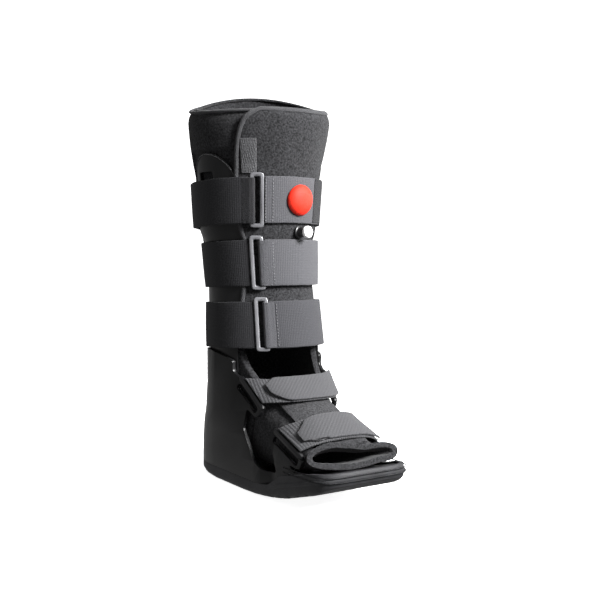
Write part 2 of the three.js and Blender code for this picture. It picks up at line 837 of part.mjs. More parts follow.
// Each strap's middle height, its ring's angle, and the hand its long strap comes
// from: -1 folds back to the left of its ring, 1 to the right
const legStraps = [
  { z: 310, ring: -32, hand: -1, doubled: 78 },
  { z: 243, ring: -33.5, hand: 1, doubled: 96 },
  { z: 176.5, ring: -32.5, hand: 1, doubled: 92 },
];
const ringWidth = ringSlot + 2 * ringBar;
const ringHeight = webbing + 2 * ringBar;

// Height of a strap's edge at an angle; side is -1 for its lower edge, 1 for its upper
function strapEdge(strap, angle, side) {
  const y = -legReach(strap.z) * Math.cos(rad(angle));
  return strap.z + (side * webbing) / 2 - strapTilt * y;
}

const turnOf = (strap, distance) => (distance * 180) / (Math.PI * legReach(strap.z));

function strapWall(strap, angles, thickness) {
  const grid = (away) =>
    angles.map((angle) => [-1, 1].map((side) => onLeg(angle, strapEdge(strap, angle, side), away(angle))));
  return wallGeometry(grid((angle) => strapLift + thickness(angle)), grid(() => strapLift), false);
}

// The long strap runs from its ring round the back to the short end's far edge; its
// end is folded back on itself, so it is double for a stretch
function longStrap(strap) {
  const start = strap.ring + strap.hand * (turnOf(strap, ringWidth / 2 + gap));
  const stop = strap.ring + strap.hand * (360 - chafeTurn);
  const foldEnd = start + strap.hand * strap.doubled;
  const step = 1.2 * strap.hand;
  const angles = [...spread(start, foldEnd, 14), ...spread(foldEnd + step, stop, 24)];
  const ordered = strap.hand > 0 ? angles : angles.toReversed();
  const isDouble = (angle) => (angle - foldEnd) * strap.hand <= 1e-6;
  return strapWall(strap, ordered, (angle) => (isDouble(angle) ? 2 * strapThickness : strapThickness));
}

// The short sewn end between the ring and the long strap's far end
function chafe(strap) {
  const start = strap.ring - strap.hand * turnOf(strap, ringWidth / 2 + gap);
  const stop = strap.ring - strap.hand * (chafeTurn - turnOf(strap, gap));
  const angles = spread(start, stop, 12);
  return strapWall(strap, strap.hand > 0 ? angles.toReversed() : angles, () => strapThickness);
}

// A rectangular ring with one long slot, lying on the leg
function ring(strap) {
  const halfW = ringWidth / 2;
  const halfH = ringHeight / 2;
  const box = (w, h) => [{ y: -w, z: -h }, { y: w, z: -h }, { y: w, z: h }, { y: -w, z: h }];
  const shape = sideShape(box(halfW, halfH).map((c) => ({ ...c, r: ringBar * 0.8 })));
  const slot = new THREE.Path();
  roundCorners(slot, box(halfW - ringBar, webbing / 2).map((c) => ({ ...c, r: 1 })));
  shape.holes.push(slot);
  const geometry = new THREE.ExtrudeGeometry(shape, {
    depth: ringDepth - 2 * ringBevel,
    bevelThickness: ringBevel,
    bevelSize: ringBevel,
    bevelOffset: -ringBevel,
    bevelSegments: 1,
    curveSegments: 2,
  });
  const low = onLeg(strap.ring, strapEdge(strap, strap.ring, -1), 0);
  const high = onLeg(strap.ring, strapEdge(strap, strap.ring, 1), 0);
  const up = high.clone().sub(low).normalize();
  const tangent = new THREE.Vector3(Math.cos(rad(strap.ring)), Math.sin(rad(strap.ring)), 0);
  const normal = tangent.clone().cross(up).normalize();
  const middle = low.clone().lerp(high, 0.5).addScaledVector(normal, ringBevel + strapLift + strapGap);
  const place = new THREE.Matrix4().makeBasis(tangent, up, normal).setPosition(middle);
  return geometry.applyMatrix4(place);
}

// Foot straps

// Each strap's middle line on the instep, upper and lower edge, and its tab's tip as a
// share of the way from the middle to the left bar
const footStraps = [
  { bar: earBars[0], top: { y: -66, z: 120.5 }, low: { y: -93, z: 100 }, tip: 0.78 },
  { bar: earBars[1], top: { y: -119.5, z: 87 }, low: { y: -150.4, z: 68.8 }, tip: 0.56 },
];

// A place on a foot strap: across runs from -1 at the left bar to 1 at the right one,
// share from its upper to its lower edge
function onFootStrap(strap, across, share, away) {
  const margin = 0.06;
  const s = lerp(margin, 1 - margin, share);
  const out = -(earBarRadius + gap);
  const end = beside(strap.bar, s, 0, out);
  const middle = {
    y: lerp(strap.top.y, strap.low.y, share),
    z: lerp(strap.top.z, strap.low.z, share),
  };
  const rise = 1 - Math.abs(across) ** footStrapBend;
  const x = across * lerp(barX(strap.bar.top), barX(strap.bar.low), s);
  const { inward } = barAxes(strap.bar);
  const lift = new THREE.Vector3(across * 0.75, -inward.x, -inward.y).normalize();
  return new THREE.Vector3(x, lerp(end.y, middle.y, rise), lerp(end.z, middle.z, rise)).addScaledVector(lift, away);
}

function footStrapWall(strap, acrosses, shares, from, to) {
  const grid = (away) =>
    acrosses.map((across) => shares(across).map((share) => onFootStrap(strap, across, share, away)));
  return wallGeometry(grid(to), grid(from), false);
}

const footBase = (strap) =>
  footStrapWall(strap, spread(-1, 1, 14), () => [1, 0.5, 0], 0, footStrapThickness);

// The free end, folded back over the strap from the right bar, with a clipped tip
function footTab(strap) {
  const acrosses = [0, 0.05, 0.12, 0.22, 0.36, 0.5, 0.64, 0.76, 0.88, 1].map((s) => lerp(-strap.tip, 1, s));
  const narrow = (across) => 0.3 * (1 - smooth((across + strap.tip) / 0.22));
  const shares = (across) => [1 - narrow(across), 0.5, narrow(across)];
  const from = footStrapThickness + 2 * strapGap;
  return footStrapWall(strap, acrosses, shares, from, from + tabThickness);
}

// Pump and valve

// A round cap on the leg: rings of points at shares of its radius, each raised by a
// dome, over a base that follows the strap
function domeOn(angle, z, base, radius, height, sides = 20) {
  const rises = [0.35, 0.62, 0.84, 0.96, 1].map((share) => ({
    share,
    up: Math.max(0.12, Math.sqrt(1 - (share * 0.99) ** 2.6)) * height,
  }));
  const point = (share, turn, away) => {
    const across = radius * share * Math.cos(turn);
    const around = (across * 180) / (Math.PI * (legReach(z) + base));
    return onLeg(angle + around, z + radius * share * Math.sin(turn), base + away);
  };
  const ringAt = (share, away) =>
    spread(0, 2 * Math.PI, sides).slice(0, -1).map((turn) => point(share, turn, away));
  const rings = [...rises.map(({ share, up }) => ringAt(share, up)), ringAt(1, 0), ringAt(0.55, 0)];
  const points = [...rings.flat(), point(0, 0, height), point(0, 0, 0)];
  const top = rings.length * sides;
  const faces = [];
  for (let i = 0; i < sides; i += 1) {
    const k = (i + 1) % sides;
    faces.push([top, i, k], [top + 1, (rings.length - 1) * sides + k, (rings.length - 1) * sides + i]);
    for (let j = 0; j < rings.length - 1; j += 1) {
      const a = j * sides + i;
      const b = j * sides + k;
      faces.push([a, a + sides, b + sides], [a, b + sides, b]);
    }
  }
  return geometryFrom(points, faces);
}

const pumpBulb = () => domeOn(bulbAngle, bulbZ, strapLift + strapThickness + strapGap, bulbRadius, bulbHeight);

// Turns a lathe's +Y to point straight out of the leg at the valve
function onValve(geometry, away) {
  const place = onLeg(valveAngle, valveZ, away);
  geometry.rotateZ(Math.PI + rad(valveAngle));
  return geometry.translate(place.x, place.y, place.z);
}

const profile = (rows) => rows.map(([r, y]) => new THREE.Vector2(r, y));

function valveStem() {
  const socket = plungerRadius + gap + 0.1;
  const rows = [
    [0, 0],
    [valveStemRadius + 1.8, 0],
    [valveStemRadius + 1.8, 1.6],
    [valveStemRadius, 2.4],
    [valveStemRadius, valveStemLength],
    [socket, valveStemLength],
    [socket, valveStemLength - valveSocketDepth],
    [0, valveStemLength - valveSocketDepth],
  ];
  return onValve(new THREE.LatheGeometry(profile(rows), valveSides), valveLift);
}

function valveButton() {
  const face = valveStemLength + pressTravel + gap;
  const rows = [
    [0, face - pressTravel - valveSocketDepth + 2 * pressTravel],
    [plungerRadius, face - pressTravel - valveSocketDepth + 2 * pressTravel],
    [plungerRadius, face],
    [buttonRadius, face],
    [buttonRadius, face + buttonLength - 1],
    [buttonRadius - 1, face + buttonLength],
    [0, face + buttonLength],
  ];
  return onValve(new THREE.LatheGeometry(profile(rows), valveSides), valveLift);
}

// Assembly

const finish = (color, roughness, metalness = 0) => new THREE.MeshStandardMaterial({ color, roughness, metalness });
const moulded = finish(0x2b2b2d, 0.5);
const rubber = finish(0x3a3a3b, 0.75);
const foam = finish(0x48484a, 0.95);
const tape = finish(0x3c3c3e, 0.9);
const web = finish(0x6c6c6e, 0.85);
const red = finish(0xe8432f, 0.5);
const white = finish(0xf4f4f2, 0.35);

const boot = new THREE.Group();

function piece(name, geometry, material) {
  const mesh = new THREE.Mesh(geometry, material);
  mesh.name = name;
  boot.add(mesh);
}

piece("outsole", outsole(), rubber);
piece("foot_shell", footShell(), moulded);
piece("upright_left", upright(-1), moulded);
piece("upright_right", upright(1), moulded);
piece("leg_liner", legLiner(), foam);
piece("liner_flap", linerFlap(), foam);
piece("flap_binding", flapBinding(), tape);
piece("hook_strip", hookStrip(), web);
piece("heel_liner", heelLiner(), foam);
piece("foot_liner", footLiner(), foam);
piece("foot_flap", footFlap(), foam);
legStraps.forEach((strap, i) => {
  piece(`leg_strap_${i + 1}`, longStrap(strap), web);
  piece(`leg_chafe_${i + 1}`, chafe(strap), web);
  piece(`leg_ring_${i + 1}`, ring(strap), moulded);
});
footStraps.forEach((strap, i) => {
  piece(`foot_strap_${i + 1}`, footBase(strap), web);
  piece(`foot_tab_${i + 1}`, footTab(strap), web);
});
piece("pump_bulb", pumpBulb(), red);
piece("valve_stem", valveStem(), moulded);
piece("valve_button", valveButton(), white);

export default boot;
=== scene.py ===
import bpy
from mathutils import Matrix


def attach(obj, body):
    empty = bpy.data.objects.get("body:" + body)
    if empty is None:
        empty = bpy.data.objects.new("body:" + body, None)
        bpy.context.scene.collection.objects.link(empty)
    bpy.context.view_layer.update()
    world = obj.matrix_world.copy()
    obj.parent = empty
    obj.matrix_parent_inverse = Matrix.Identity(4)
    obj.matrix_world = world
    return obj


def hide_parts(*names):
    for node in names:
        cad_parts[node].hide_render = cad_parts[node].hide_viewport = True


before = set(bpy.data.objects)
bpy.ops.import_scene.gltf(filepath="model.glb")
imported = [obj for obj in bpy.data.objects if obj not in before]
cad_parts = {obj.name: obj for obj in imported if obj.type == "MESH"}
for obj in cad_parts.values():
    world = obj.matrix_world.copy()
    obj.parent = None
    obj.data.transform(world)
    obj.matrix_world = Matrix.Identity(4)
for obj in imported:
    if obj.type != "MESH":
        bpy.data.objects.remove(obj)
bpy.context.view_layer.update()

import math

import bpy
from mathutils import Vector, noise

# Lengths are in millimetres and angles in degrees unless a line says otherwise
MM = 0.001

# Leg: a leaning tube whose half width at a share of its height is a share of the widest one

LEG_BOTTOM = 152
LEG_TOP = 441
LEG_WIDEST = 80.6
LEG_SHARES = [
    (0, 0.775), (0.08, 0.763), (0.17, 0.744), (0.228, 0.737), (0.315, 0.747), (0.401, 0.767),
    (0.429, 0.806), (0.46, 0.835), (0.547, 0.851), (0.633, 0.872), (0.685, 0.9), (0.74, 0.937),
    (0.806, 0.975), (0.862, 1), (0.92, 0.993), (1, 0.968),
]
LEG_FOOT_Y = -13.4
LEG_LEAN = 0.109
LEG_STRAIGHT_Z = 285

# Rim: lowest near the front, highest opposite, with a rounded shoulder that turns in at its top

RIM_FRONT_Z = 409
RIM_RISE = 32
RIM_LOW_ANGLE = -27
RIM_ROUND = 13
RIM_TURN_IN = 4.5

# Leg straps: the height of each one, the angle of its ring's slot and the side its doubled end goes to

STRAP_TILT = 0.046
STRAPS = [
    {"number": 1, "z": 310, "ring": -32, "hand": -1},
    {"number": 2, "z": 243, "ring": -33.5, "hand": 1},
    {"number": 3, "z": 176.5, "ring": -32.5, "hand": 1},
]


def between(rows, place):
    """The value at a place along rows of places and values, straight between neighbours."""
    if place <= rows[0][0]:
        return rows[0][1]
    for (a, low), (b, high) in zip(rows, rows[1:]):
        if place <= b:
            return low + (high - low) * (place - a) / (b - a)
    return rows[-1][1]


def leg_reach(z):
    """The leg's radius at a height."""
    return LEG_WIDEST * between(LEG_SHARES, (z - LEG_BOTTOM) / (LEG_TOP - LEG_BOTTOM))


def leg_middle(z):
    """The y of the leg's middle at a height."""
    return LEG_FOOT_Y + LEG_LEAN * min(z, LEG_STRAIGHT_Z)


def rim_height(angle):
    return RIM_FRONT_Z + RIM_RISE * ((1 - math.cos(math.radians(angle - RIM_LOW_ANGLE))) / 2) ** 2


def rim_turn_in(angle, z):
    """How far the padded rim's rounded shoulder has turned in at a place."""
    return RIM_TURN_IN * max(0, (z - rim_height(angle) + RIM_ROUND) / RIM_ROUND) ** 2


def outwards(angle):
    """The level direction out of the leg at an angle."""
    turn = math.radians(angle)
    return Vector((math.sin(turn), -math.cos(turn), 0))


def on_leg(angle, z, out):
    """A point at a distance out from the leg, its angle counted from the front towards +X."""
    reach = leg_reach(z) + out - rim_turn_in(angle, z)
    turn = math.radians(angle)
    return Vector((reach * math.sin(turn), leg_middle(z) - reach * math.cos(turn), z)) * MM


def angle_of(point):
    """The angle of a point, given in metres, round the leg."""
    return math.degrees(math.atan2(point.x / MM, leg_middle(point.z / MM) - point.y / MM))


def tilted(z, angle):
    """A strap's height at an angle: it stands a little higher at the front than at the back."""
    return z - STRAP_TILT * (leg_middle(z) - leg_reach(z) * math.cos(math.radians(angle)))


def there_and_back(share):
    """Goes from 0 up to 1 and down again while the share goes from 0 to 1."""
    return (share if share < 0.5 else 1 - share) * 2


def linear(code):
    """A colour from its sRGB hex code, as Blender's linear values."""
    parts = [int(code[i : i + 2], 16) / 255 for i in (0, 2, 4)]
    return [p / 12.92 if p <= 0.04045 else ((p + 0.055) / 1.055) ** 2.4 for p in parts] + [1]


# Making pieces


def alone(piece):
    """Selects this piece only, in object mode."""
    if bpy.context.object and bpy.context.object.mode != "OBJECT":
        bpy.ops.object.mode_set(mode="OBJECT")
    bpy.ops.object.select_all(action="DESELECT")
    piece.select_set(True)
    bpy.context.view_layer.objects.active = piece


def add_modifier(piece, kind, **settings):
    """Adds a modifier with its settings and applies it."""
    alone(piece)
    modifier = piece.modifiers.new(kind.title(), kind)
    for name, value in settings.items():
        setattr(modifier, name, value)
    bpy.ops.object.modifier_apply(modifier=modifier.name)


def copy_of(node, name):
    """A copy of a solid with its loose triangles merged into one closed surface of four-sided faces."""
    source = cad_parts[node]
    piece = bpy.data.objects.new(name, source.data.copy())
    bpy.context.scene.collection.objects.link(piece)
    piece.data.materials.clear()
    alone(piece)
    bpy.ops.object.mode_set(mode="EDIT")
    bpy.ops.mesh.select_all(action="SELECT")
    bpy.ops.mesh.remove_doubles(threshold=0.00002)
    bpy.ops.mesh.tris_convert_to_quads(face_threshold=math.radians(50), shape_threshold=math.radians(60))
    bpy.ops.mesh.normals_make_consistent(inside=False)
    bpy.ops.object.mode_set(mode="OBJECT")
    return piece


def finish(piece, material, body="boot", smooth=180):
    """Gives a piece its material, its soft or crisp shading and the body that it rides on."""
    alone(piece)
    bpy.ops.object.transform_apply(location=True, rotation=True, scale=True)
    bpy.ops.object.shade_smooth_by_angle(angle=math.radians(smooth))
    piece.data.materials.clear()
    piece.data.materials.append(material)
    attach(piece, body)
    return piece


def moulded(node, name, material, *, bevel, smooth=40, body="boot"):
    """A hard moulding: the solid's shape with its edges rounded."""
    piece = copy_of(node, name)
    add_modifier(
        piece, "BEVEL", width=bevel * MM, segments=3, limit_method="ANGLE", angle_limit=math.radians(38),
        use_clamp_overlap=True,
    )
    finish(piece, material, body, smooth)
    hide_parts(node)


def ripple(piece, height, size, seed):
    """Moves the surface in and out by soft noise, as foam and cloth give."""
    piece.data.update()
    normals = [v.normal.copy() for v in piece.data.vertices]
    for vertex, normal in zip(piece.data.vertices, normals):
        place = vertex.co / (size * MM) + Vector((seed, seed * 2, seed * 3))
        vertex.co += normal * height * MM * noise.noise(place)


def padded_piece(node, name, material, slot, *, bevel, levels, height, size, seed):
    """A soft piece: the solid with its corners rounded and its surface made uneven.

    The unevenness has a height and a size across, and the seed picks another part of the noise.
    """
    piece = copy_of(node, name)
    add_modifier(
        piece, "BEVEL", width=bevel * MM, segments=2, limit_method="ANGLE", angle_limit=math.radians(40),
        use_clamp_overlap=True,
    )
    add_modifier(piece, "SUBSURF", levels=levels, render_levels=levels)
    ripple(piece, height, size, seed)
    finish(piece, material)
    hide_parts(node)
    return piece


WRAP_RADIUS = 0.07  # metres, a middling radius of the leg, which turns angles into lengths round it


def wrap_lines(piece):
    """Lays the piece's UV map round the leg and up it, in metres, so that a weave follows the surface."""
    layer = piece.data.uv_layers.new(name="wrap")
    for face in piece.data.polygons:
        middle = angle_of(face.center)
        for corner in face.loop_indices:
            point = piece.data.vertices[piece.data.loops[corner].vertex_index].co
            turn = (angle_of(point) - middle + 180) % 360 - 180 + middle
            layer.data[corner].uv = (math.radians(turn) * WRAP_RADIUS, point.z + STRAP_TILT * point.y)


def lay_lines(piece, across, along):
    """Lays the piece's UV map along two directions, in metres."""
    layer = piece.data.uv_layers.new(name="wrap")
    for face in piece.data.polygons:
        for corner in face.loop_indices:
            point = piece.data.vertices[piece.data.loops[corner].vertex_index].co
            layer.data[corner].uv = (point.dot(across), point.dot(along))


def strip(name, across, along, place, thickness, bevel=0.4):
    """A strip of tape or web: a grid with its corners moved to place, thickened both ways and rounded."""
    bpy.ops.object.select_all(action="DESELECT")
    bpy.ops.mesh.primitive_grid_add(x_subdivisions=across, y_subdivisions=along, size=2)
    piece = bpy.context.object
    piece.name = name
    for vertex in piece.data.vertices:
        vertex.co = place((vertex.co.x + 1) / 2, (vertex.co.y + 1) / 2)
    add_modifier(piece, "SOLIDIFY", thickness=thickness * MM, offset=0, use_even_offset=True)
    add_modifier(
        piece, "BEVEL", width=bevel * MM, segments=2, limit_method="ANGLE", angle_limit=math.radians(60)
    )
    return piece


def stitches(name, points, length, radius, material):
    """A row of stitches: one small thread shape, copied at each place along its direction."""
    bpy.ops.object.select_all(action="DESELECT")
    bpy.ops.mesh.primitive_uv_sphere_add(segments=6, ring_count=5, radius=1)
    thread = bpy.context.object
    copies = []
    for point, direction, normal in points:
        copy = thread.copy()
        copy.data = thread.data.copy()
        bpy.context.scene.collection.objects.link(copy)
        side = direction.cross(normal).normalized()
        for vertex in copy.data.vertices:
            v = vertex.co
            from_middle = direction * v.x * length / 2 + side * v.y * radius + normal * v.z * radius
            vertex.co = point + from_middle * MM
        copies.append(copy)
    bpy.data.objects.remove(thread)
    alone(copies[0])
    for copy in copies:
        copy.select_set(True)
    bpy.ops.object.join()
    piece = bpy.context.object
    piece.name = name
    bpy.ops.object.mode_set(mode="EDIT")
    bpy.ops.mesh.select_all(action="SELECT")
    bpy.ops.mesh.normals_make_consistent(inside=False)
    bpy.ops.object.mode_set(mode="OBJECT")
    finish(piece, material)


def piping(name, path, radius, material):
    """A round welt along a closed path: a torus whose turns are moved onto the path's places."""
    ring_radius = 10
    bpy.ops.object.select_all(action="DESELECT")
    bpy.ops.mesh.primitive_torus_add(
        major_segments=128, minor_segments=10, major_radius=ring_radius, minor_radius=1
    )
    piece = bpy.context.object
    piece.name = name
    for vertex in piece.data.vertices:
        v = vertex.co
        share = (math.atan2(v.y, v.x) / math.tau) % 1
        centre, out = path(share)
        from_centre = out * (math.hypot(v.x, v.y) - ring_radius) + Vector((0, 0, v.z))
        vertex.co = centre + from_centre * radius * MM
    finish(piece, material)


# Materials


def add(tree, kind, values=None, links=None, **settings):
    """Adds a node with its settings, its values and the sockets that feed it."""
    made = tree.nodes.new(kind)
    for name, value in settings.items():
        setattr(made, name, value)
    for name, value in (values or {}).items():
        made.inputs[name].default_value = value
    for name, socket in (links or {}).items():
        tree.links.new(socket, made.inputs[name])
    return made


def new_surface(name, values):
    """A material whose shader has these values, and the node where its patterns read their place."""
    material = bpy.data.materials.new(name)
    material.use_nodes = True
    tree = material.node_tree
    shader = tree.nodes["Principled BSDF"]
    for key, value in values.items():
        shader.inputs[key].default_value = value
    place = add(tree, "ShaderNodeTexCoord")
    return material, tree, shader, place


def mottle(tree, shader, vector, dark, light, scale, detail):
    """Colour that wanders between two tones, as dyed or moulded stuff does."""
    grain = add(tree, "ShaderNodeTexNoise", {"Scale": scale, "Detail": detail}, {"Vector": vector})
    tones = add(tree, "ShaderNodeValToRGB", links={"Fac": grain.outputs["Fac"]})
    tones.color_ramp.elements[0].position = 0.32
    tones.color_ramp.elements[0].color = linear(dark)
    tones.color_ramp.elements[1].position = 0.68
    tones.color_ramp.elements[1].color = linear(light)
    tree.links.new(tones.outputs["Color"], shader.inputs["Base Color"])
    return grain


def raise_surface(tree, shader, height, distance):
    """Feeds a height into the shader as relief, its depth in metres."""
    relief = add(tree, "ShaderNodeBump", {"Strength": 1, "Distance": distance}, {"Height": height})
    tree.links.new(relief.outputs["Normal"], shader.inputs["Normal"])


def mixed_height(tree, fine, coarse, share):
    """A height made of a coarse pattern and a share of a fine one."""
    made = add(
        tree, "ShaderNodeMath", {1: share}, {0: fine.outputs["Fac"], 2: coarse.outputs["Fac"]},
        operation="MULTIPLY_ADD",
    )
    return made.outputs[0]


def bands(tree, place, pitch, direction):
    """Wavy bands a pitch apart: a wave scale of 1 gives bands 314 mm apart."""
    return add(
        tree, "ShaderNodeTexWave", {"Scale": 314 / pitch, "Distortion": 0.4, "Detail": 1.0},
        {"Vector": place.outputs["UV"]}, wave_type="BANDS", bands_direction=direction,
    )


NAP_SCALE = 520  # tufts about 2 mm across, coarser than the real nap so that they show
FOLD_SCALE = 60  # soft folds about 17 mm across
WEB_TONE_SCALE = 900  # tones of single threads, about 1 mm across
SWIRL_SCALE = 40  # faint swirls about 25 mm across
HOOK_SCALE = 620  # hooks about 1.6 mm apart


def brushed_knit(name, dark, light):
    """Brushed loop knit over foam: short dull nap that catches light at its edges, in 2 mm tufts."""
    material, tree, shader, place = new_surface(
        name, {"Roughness": 0.95, "Sheen Weight": 0.06, "Sheen Roughness": 0.6, "Specular IOR Level": 0.06}
    )
    nap = mottle(tree, shader, place.outputs["Object"], dark, light, NAP_SCALE, 8)
    folds = add(
        tree, "ShaderNodeTexNoise", {"Scale": FOLD_SCALE, "Detail": 2}, {"Vector": place.outputs["Object"]}
    )
    raise_surface(tree, shader, mixed_height(tree, folds, nap, 0.35), 0.0007)
    return material


def woven_web(name, dark, light, *, pitch, rib, sheen, depth=0.00012, lay="X"):
    """Woven webbing: ribs a pitch apart, crossed by finer threads, dull with a faint sheen."""
    material, tree, shader, place = new_surface(
        name, {"Roughness": 0.7, "Sheen Weight": sheen, "Specular IOR Level": 0.12}
    )
    mottle(tree, shader, place.outputs["UV"], dark, light, WEB_TONE_SCALE, 3)
    ribs = bands(tree, place, pitch, lay)
    threads = bands(tree, place, rib, "Y")
    raise_surface(tree, shader, mixed_height(tree, threads, ribs, 0.6), depth)
    return material


def moulded_plastic(name, dark, light, *, roughness, grain_size, depth, gloss=0.5):
    """Injection moulded plastic: an even spark-eroded grain and faint swirls of colour."""
    material, tree, shader, place = new_surface(name, {"Roughness": roughness, "Specular IOR Level": gloss})
    mottle(tree, shader, place.outputs["Object"], dark, light, SWIRL_SCALE, 3)
    grain = add(
        tree, "ShaderNodeTexNoise", {"Scale": 1000 / grain_size, "Detail": 3},
        {"Vector": place.outputs["Object"]},
    )
    raise_surface(tree, shader, grain.outputs["Fac"], depth)
    return material


def hook_tape(name, dark, light):
    """Moulded hook tape: rows of tiny hooks that look like a fine rough grid."""
    material, tree, shader, place = new_surface(name, {"Roughness": 0.6})
    mottle(tree, shader, place.outputs["Object"], dark, light, WEB_TONE_SCALE, 2)
    hooks = add(
        tree, "ShaderNodeTexVoronoi", {"Scale": HOOK_SCALE, "Randomness": 0.35},
        {"Vector": place.outputs["Object"]},
    )
    raise_surface(tree, shader, hooks.outputs["Distance"], 0.0006)
    return material


# Knit over foam, near black and dull, a little lighter on the sleeve round the foot

liner_knit = brushed_knit("brushed loop knit liner", "0a0a0b", "303032")
flap_knit = brushed_knit("brushed loop knit flap", "0b0b0c", "323234")
foot_knit = brushed_knit("brushed loop knit sleeve", "161617", "38383a")

# Nylon webs: the loop faced ones look greyer than the plain dark ones, and the tabs have slanting ribs

strap_loop = woven_web("loop faced strap web", "333336", "4a4a4d", pitch=2.2, rib=1.8, sheen=0.1)
# The lowest strap's loop faced web is the same web in darker tones, as painted shade where less light
# reaches it
strap_loop_painted_shade = woven_web(
    "loop faced strap web of the lowest strap", "262629", "38383b", pitch=2.2, rib=1.8, sheen=0.08
)
strap_dark = woven_web("woven nylon strap web", "18181a", "2b2b2d", pitch=2.4, rib=1.8, sheen=0.04)
tab_web = woven_web(
    "fine twill tab web", "303032", "444446", pitch=2.3, rib=1.2, sheen=0.1, depth=0.00018, lay="DIAGONAL"
)
base_web = woven_web(
    "ribbed strap base web", "2a2a2c", "4a4a4c", pitch=2.6, rib=1.2, sheen=0.06, depth=0.0003
)
binding_web = woven_web("sewn stretch binding", "2a2a2c", "424244", pitch=2.2, rib=1.6, sheen=0.08)
thread_nylon = moulded_plastic(
    "bonded nylon thread", "5c5c5e", "727275", roughness=0.7, grain_size=0.4, depth=0.00005
)
hook_nylon = hook_tape("moulded hook tape", "28282a", "48484a")

# Moulded nylon, black with a low broad gloss, and a lighter welt along each strut's top that is a painted
# highlight

shell_plastic = moulded_plastic(
    "moulded nylon shell", "0e0e0f", "161617", roughness=0.3, grain_size=0.7, depth=0.00012, gloss=0.24
)
strut_plastic = moulded_plastic(
    "moulded nylon strut", "0e0e0f", "161617", roughness=0.3, grain_size=0.7, depth=0.0001, gloss=0.24
)
# A lighter grey that paints the highlight along the edge of each strut's top
painted_highlight_nylon = moulded_plastic(
    "moulded nylon edge with painted highlight", "4a4a4c", "5c5c5e", roughness=0.3, grain_size=0.9, depth=0.00003
)

# Acetal rings and valve, smooth and satin, and moulded rubber, which is duller and grained

ring_plastic = moulded_plastic(
    "satin moulded acetal ring", "525255", "666669", roughness=0.28, grain_size=0.9, depth=0.00003
)
valve_white = moulded_plastic(
    "moulded white acetal button", "f0f0ee", "f6f6f4", roughness=0.3, grain_size=0.9, depth=0.00002
)
valve_black = moulded_plastic(
    "moulded black acetal stem", "161617", "1e1e1f", roughness=0.35, grain_size=0.9, depth=0.00003
)
sole_rubber = moulded_plastic(
    "moulded rubber sole", "252527", "323234", roughness=0.5, grain_size=0.9, depth=0.0002, gloss=0.22
)
bulb_rubber = moulded_plastic(
    "moulded red rubber bulb", "c8220f", "d62c18", roughness=0.6, grain_size=0.8, depth=0.0003, gloss=0.25
)

# Hard pieces

moulded("outsole", "sole", sole_rubber, bevel=1.4)
moulded("foot_shell", "shell", shell_plastic, bevel=0.9)
for side in ("left", "right"):
    moulded(f"upright_{side}", f"strut_{side}", strut_plastic, bevel=0.9)
for strap in STRAPS:
    number = strap["number"]
    moulded(f"leg_ring_{number}", f"ring_{number}", ring_plastic, bevel=0.9)
moulded("valve_stem", "valve_stem_turned", valve_black, bevel=0.4, smooth=45)
moulded(
    "valve_button", "valve_button_cap", valve_white, bevel=0.7, smooth=45, body="valve_button"
)

# Padded leg, its rim turned in

LEG_OUTER_SKIN = -8  # what lies further in than this from the leg's outside is its inner wall

leg_pad = padded_piece(
    "leg_liner", "leg_pad", liner_knit, "liner_foam", bevel=3, levels=2, height=1.1, size=22, seed=1
)
for vertex in leg_pad.data.vertices:
    angle, z = angle_of(vertex.co), vertex.co.z / MM
    out = math.hypot(vertex.co.x / MM, vertex.co.y / MM - leg_middle(z)) - leg_reach(z)
    if out > LEG_OUTER_SKIN:
        vertex.co -= outwards(angle) * rim_turn_in(angle, z) * MM

# Padded front flap: rows of height and left angle round its corner, and of height and stand-off

FLAP_LOW_Z = 154
FLAP_HIGH_Z = 409
FLAP_ALONG_RIM_Z = 366
FLAP_SIDE_Y = -31.2
FLAP_LEFT_FURTHER = 4.9
FLAP_CORNER = [
    (340, 51.2), (362, 49.6), (378, 47.5), (390, 45), (398, 42), (403, 38.5), (407, 34), (409.5, 29),
]
FLAP_CORNER_LOW_Z = FLAP_CORNER[0][0]
FLAP_CORNER_TOP_Z, FLAP_CORNER_TOP_ANGLE = FLAP_CORNER[-1]
FLAP_STAND = [(352, 0), (378, 1.6), (400, 2.0)]
FLAP_THICKNESS = 6


def flap_side(z):
    """Angle of the flap's straight sides, which lie in one plane across the leg."""
    return math.degrees(math.acos((leg_middle(z) - FLAP_SIDE_Y) / leg_reach(z)))


def flap_left(z):
    return flap_side(z) + FLAP_LEFT_FURTHER if z < FLAP_CORNER_LOW_Z else between(FLAP_CORNER, z)


def on_flap(across, along):
    """A place on the flap, whose upper part is stretched or shortened to follow the rim."""
    z = FLAP_LOW_Z + (FLAP_HIGH_Z - FLAP_LOW_Z) * along
    left = -flap_left(z)
    angle = left + (flap_side(z) - left) * across
    top = rim_height(angle) - 1
    if z > FLAP_ALONG_RIM_Z:
        room, plain_room = top - FLAP_ALONG_RIM_Z, FLAP_HIGH_Z - FLAP_ALONG_RIM_Z
        z = FLAP_ALONG_RIM_Z + (z - FLAP_ALONG_RIM_Z) * room / plain_room
    return on_leg(angle, z, between(FLAP_STAND, z) - FLAP_THICKNESS / 2)


front_pad = strip("front_pad", 40, 72, on_flap, FLAP_THICKNESS, 2)
add_modifier(front_pad, "SUBSURF", levels=1, render_levels=1)
ripple(front_pad, height=0.8, size=24, seed=3)
finish(front_pad, flap_knit)
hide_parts("liner_flap")

# Padded heel, foot and instep

ankle_pad = padded_piece(
    "heel_liner", "ankle_pad", liner_knit, "liner_foam", bevel=2, levels=2, height=0.8, size=18, seed=5
)
foot_pad = padded_piece(
    "foot_liner", "foot_pad", foot_knit, "liner_foam", bevel=2, levels=2, height=0.7, size=16, seed=7
)

# Lips of the open toe: the middle, width and height of each swell, and where the swells begin

MOUTH_START_Y = -130
MOUTH_RUN = 26
MOUTH_MIDDLE_Z = 54
UPPER_LIP = [(14, 15, -3.6), (-24, 12, 1.6)]
LOWER_LIP = [(30, 12, 2.2), (-5, 14, -1)]


